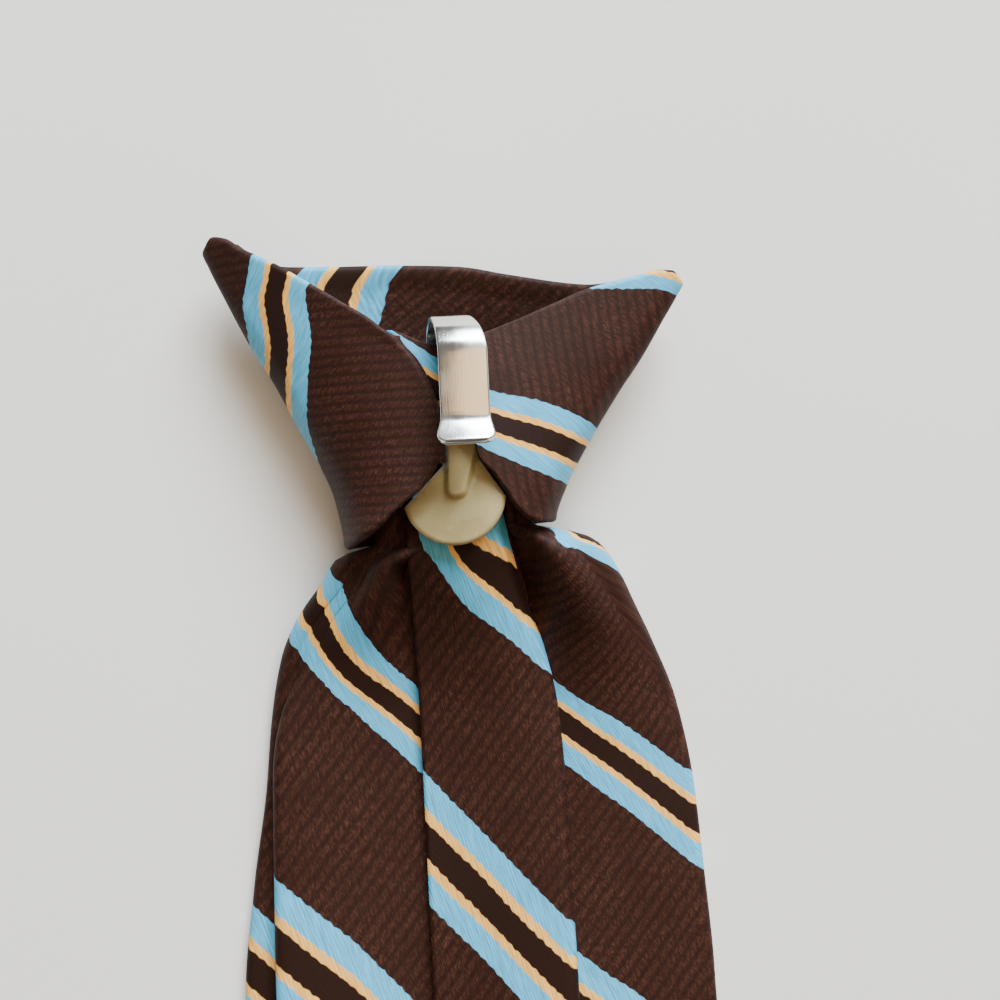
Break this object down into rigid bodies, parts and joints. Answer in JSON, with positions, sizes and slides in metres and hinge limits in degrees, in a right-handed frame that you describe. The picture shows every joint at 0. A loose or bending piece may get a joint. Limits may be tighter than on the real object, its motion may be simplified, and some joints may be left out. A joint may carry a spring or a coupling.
{
  "type": "clip on tie",
  "caption": "Ready-knotted striped clip-on tie lying on its face, with a folded blade, a wound knot and a bent metal collar hook.",
  "frame": {"origin": "middle of the lying tie's outline, on the surface under it", "axes": "+X across the tie, +Y up towards the collar, +Z out of its back"},
  "size_m": [0.088, 0.5004, 0.0232],
  "materials": {
    "blade_cloth": "woven with diagonal stripes",
    "knot_cloth": "woven with diagonal stripes",
    "former_plastic": "smooth moulded",
    "hook_metal": "plated and polished"
  },
  "bodies": {
    "root": {"blade": "blade_cloth", "knot_wrap": "knot_cloth", "knot_former": "former_plastic", "clip_hook": "hook_metal"}
  },
  "joints": []
}
